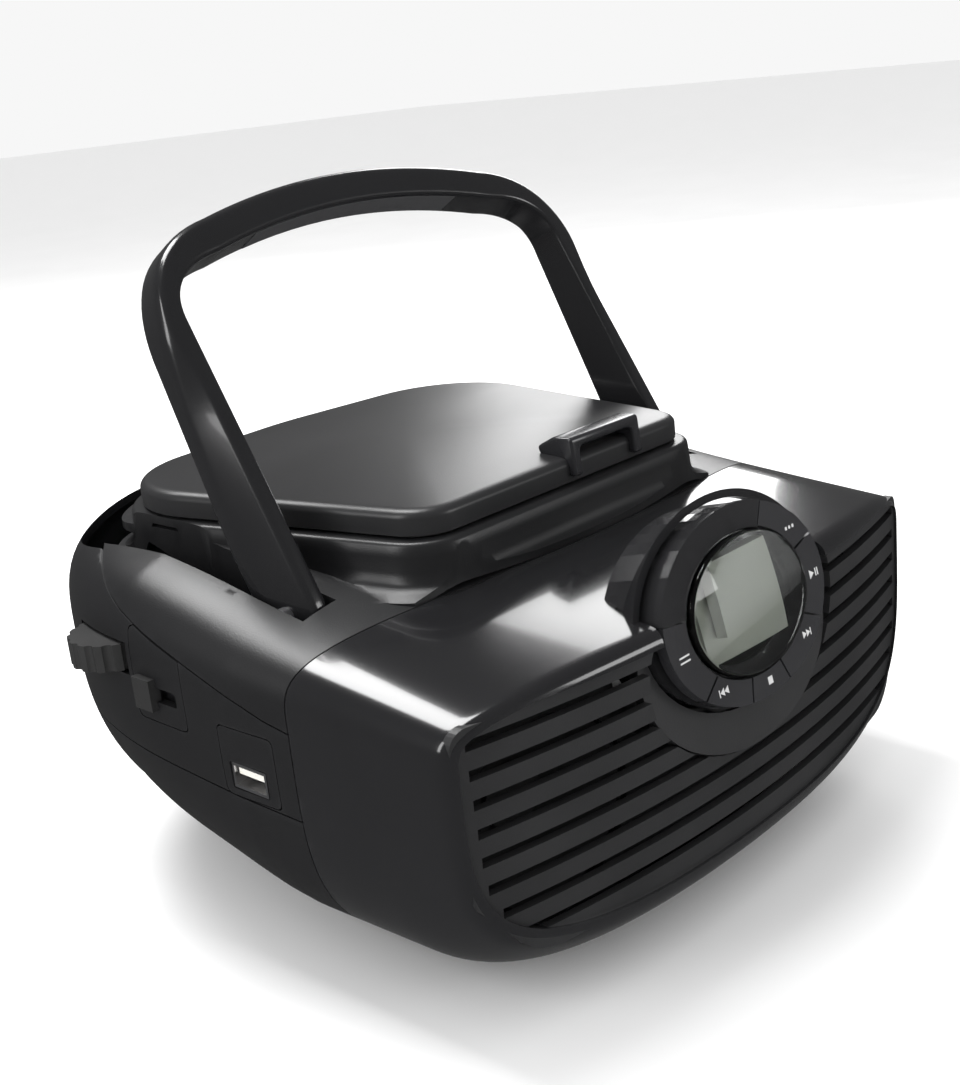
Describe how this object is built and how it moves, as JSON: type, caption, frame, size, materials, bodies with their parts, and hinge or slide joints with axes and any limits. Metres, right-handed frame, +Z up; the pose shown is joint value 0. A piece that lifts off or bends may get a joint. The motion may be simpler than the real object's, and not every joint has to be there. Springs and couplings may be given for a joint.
{
  "type": "boombox",
  "caption": "Compact portable CD boombox: louvred front grille, tilted oval control drum with display, flared CD lid, folding carry handle, side thumbwheels.",
  "frame": {"origin": "on the table under the middle of the cabinet, on its plane of symmetry", "axes": "+X to the right of a person facing the front, front towards -Y, +Z up"},
  "size_m": [0.2308, 0.2348, 0.2065],
  "materials": {
    "bezel_gloss": "gloss",
    "shell_satin": "satin",
    "lid_satin": "satin",
    "grille_matte": "matte",
    "button_gloss": "gloss",
    "lens_smoke": "gloss",
    "lcd_grey": "satin",
    "grip_soft": "matte",
    "knob_black": "satin",
    "works_grey": "satin",
    "gear_white": "satin",
    "steel": "satin",
    "chrome_tube": "polished",
    "rubber_black": "matte",
    "baffle_black": "matte",
    "cone_black": "matte",
    "speaker_metal": "satin",
    "board_green": "satin",
    "core_steel": "satin"
  },
  "bodies": {
    "cabinet": {"front_bezel": "bezel_gloss", "control_drum": "bezel_gloss", "top_shell": "shell_satin", "middle_shell": "shell_satin", "bottom_shell": "shell_satin", "function_panel": "shell_satin", "usb_panel": "shell_satin", "cd_well": "shell_satin", "grille": "grille_matte", "control_surround": "grille_matte", "display_lens": "lens_smoke", "lcd_panel": "lcd_grey", "volume_control": "works_grey", "tuning_control": "works_grey", "function_switch": "works_grey", "cd_chassis": "works_grey", "mains_inlet": "works_grey", "earphone_jack": "works_grey", "usb_tongue": "gear_white", "handle_pivot_pins": "steel", "lid_hinge_pins": "steel", "usb_socket": "steel", "spindle_motor": "steel", "guide_rods": "steel", "sled_motor": "steel", "speaker_screws": "steel", "battery_contacts": "steel", "case_screws": "steel", "antenna_mount": "chrome_tube", "rubber_feet": "rubber_black", "chassis_dampers": "rubber_black", "speaker_baffle": "baffle_black", "speaker_cones": "cone_black", "speaker_baskets": "speaker_metal", "speaker_magnets": "speaker_metal", "main_board": "board_green", "control_board": "board_green", "power_transformer": "core_steel"},
    "lid": {"cd_lid": "lid_satin", "lid_grip": "bezel_gloss", "lid_latch": "lid_satin"},
    "handle": {"handle": "bezel_gloss", "handle_grip": "grip_soft"},
    "volume_wheel": {"volume_wheel": "knob_black"},
    "tuning_wheel": {"tuning_wheel": "knob_black"},
    "function_slider": {"function_slider": "knob_black"},
    "button_repeat": {"button_repeat": "button_gloss"},
    "button_skip_back": {"button_skip_back": "button_gloss"},
    "button_stop": {"button_stop": "button_gloss"},
    "button_skip_forward": {"button_skip_forward": "button_gloss"},
    "button_play": {"button_play": "button_gloss"},
    "button_mode": {"button_mode": "button_gloss"},
    "turntable": {"turntable": "works_grey"},
    "laser_pickup": {"laser_pickup": "works_grey"},
    "sled_gear": {"sled_gear": "gear_white"},
    "antenna_outer": {"antenna_outer_tube": "chrome_tube"},
    "antenna_middle": {"antenna_middle_tube": "chrome_tube"},
    "antenna_tip": {"antenna_tip_rod": "chrome_tube"},
    "battery_door": {"battery_door": "shell_satin"}
  },
  "joints": [
    {"name": "handle_tilt", "type": "hinge", "parent": "cabinet", "child": "handle", "pos_m": [0, -0.0175, 0.097], "axis": [-1, 0, 0], "range_deg": [0, 56]},
    {"name": "lid_open", "type": "hinge", "parent": "cabinet", "child": "lid", "pos_m": [0, 0.086, 0.1125], "axis": [-1, 0, 0], "range_deg": [0, 45]},
    {"name": "volume_turn", "type": "hinge", "parent": "cabinet", "child": "volume_wheel", "pos_m": [-0.1015, 0.044, 0.0835], "axis": [0, 0, 1], "range_deg": [-140, 140]},
    {"name": "tuning_turn", "type": "hinge", "parent": "cabinet", "child": "tuning_wheel", "pos_m": [0.1015, 0.044, 0.0835], "axis": [0, 0, 1], "range_deg": [-140, 140]},
    {"name": "function_slide", "type": "slide", "parent": "cabinet", "child": "function_slider", "axis": [0, -1, 0], "range_m": [0, 0.009]},
    {"name": "turntable_spin", "type": "hinge", "parent": "cabinet", "child": "turntable", "pos_m": [0, 0.018, 0.1], "axis": [0, 0, 1], "continuous": true},
    {"name": "sled_turn", "type": "hinge", "parent": "cabinet", "child": "sled_gear", "pos_m": [0.024, -0.019, 0.097], "axis": [0, 0, 1], "range_deg": [0, 268]},
    {"name": "pickup_slide", "type": "slide", "parent": "cabinet", "child": "laser_pickup", "axis": [0, -1, 0], "range_m": [0, 0.028]},
    {"name": "antenna_swing", "type": "hinge", "parent": "cabinet", "child": "antenna_outer", "pos_m": [0.044, 0.1168, 0.088], "axis": [0, 1, 0], "range_deg": [0, 90]},
    {"name": "antenna_extend", "type": "slide", "parent": "antenna_outer", "child": "antenna_middle", "axis": [-1, 0, 0], "range_m": [0, 0.07]},
    {"name": "antenna_tip_extend", "type": "slide", "parent": "antenna_middle", "child": "antenna_tip", "axis": [-1, 0, 0], "range_m": [0, 0.068]},
    {"name": "battery_door_open", "type": "hinge", "parent": "cabinet", "child": "battery_door", "pos_m": [0, 0.041, 0.0042], "axis": [1, 0, 0], "range_deg": [0, 60]},
    {"name": "repeat_press", "type": "slide", "parent": "cabinet", "child": "button_repeat", "axis": [0, 0.9744, -0.225], "range_m": [0, 0.001]},
    {"name": "skip_back_press", "type": "slide", "parent": "cabinet", "child": "button_skip_back", "axis": [0, 0.9744, -0.225], "range_m": [0, 0.001]},
    {"name": "stop_press", "type": "slide", "parent": "cabinet", "child": "button_stop", "axis": [0, 0.9744, -0.225], "range_m": [0, 0.001]},
    {"name": "skip_forward_press", "type": "slide", "parent": "cabinet", "child": "button_skip_forward", "axis": [0, 0.9744, -0.225], "range_m": [0, 0.001]},
    {"name": "play_press", "type": "slide", "parent": "cabinet", "child": "button_play", "axis": [0, 0.9744, -0.225], "range_m": [0, 0.001]},
    {"name": "mode_press", "type": "slide", "parent": "cabinet", "child": "button_mode", "axis": [0, 0.9744, -0.225], "range_m": [0, 0.001]}
  ],
  "couplings": [
    {"joint": "antenna_tip_extend", "follows": "antenna_extend", "ratio": 0.97}
  ]
}
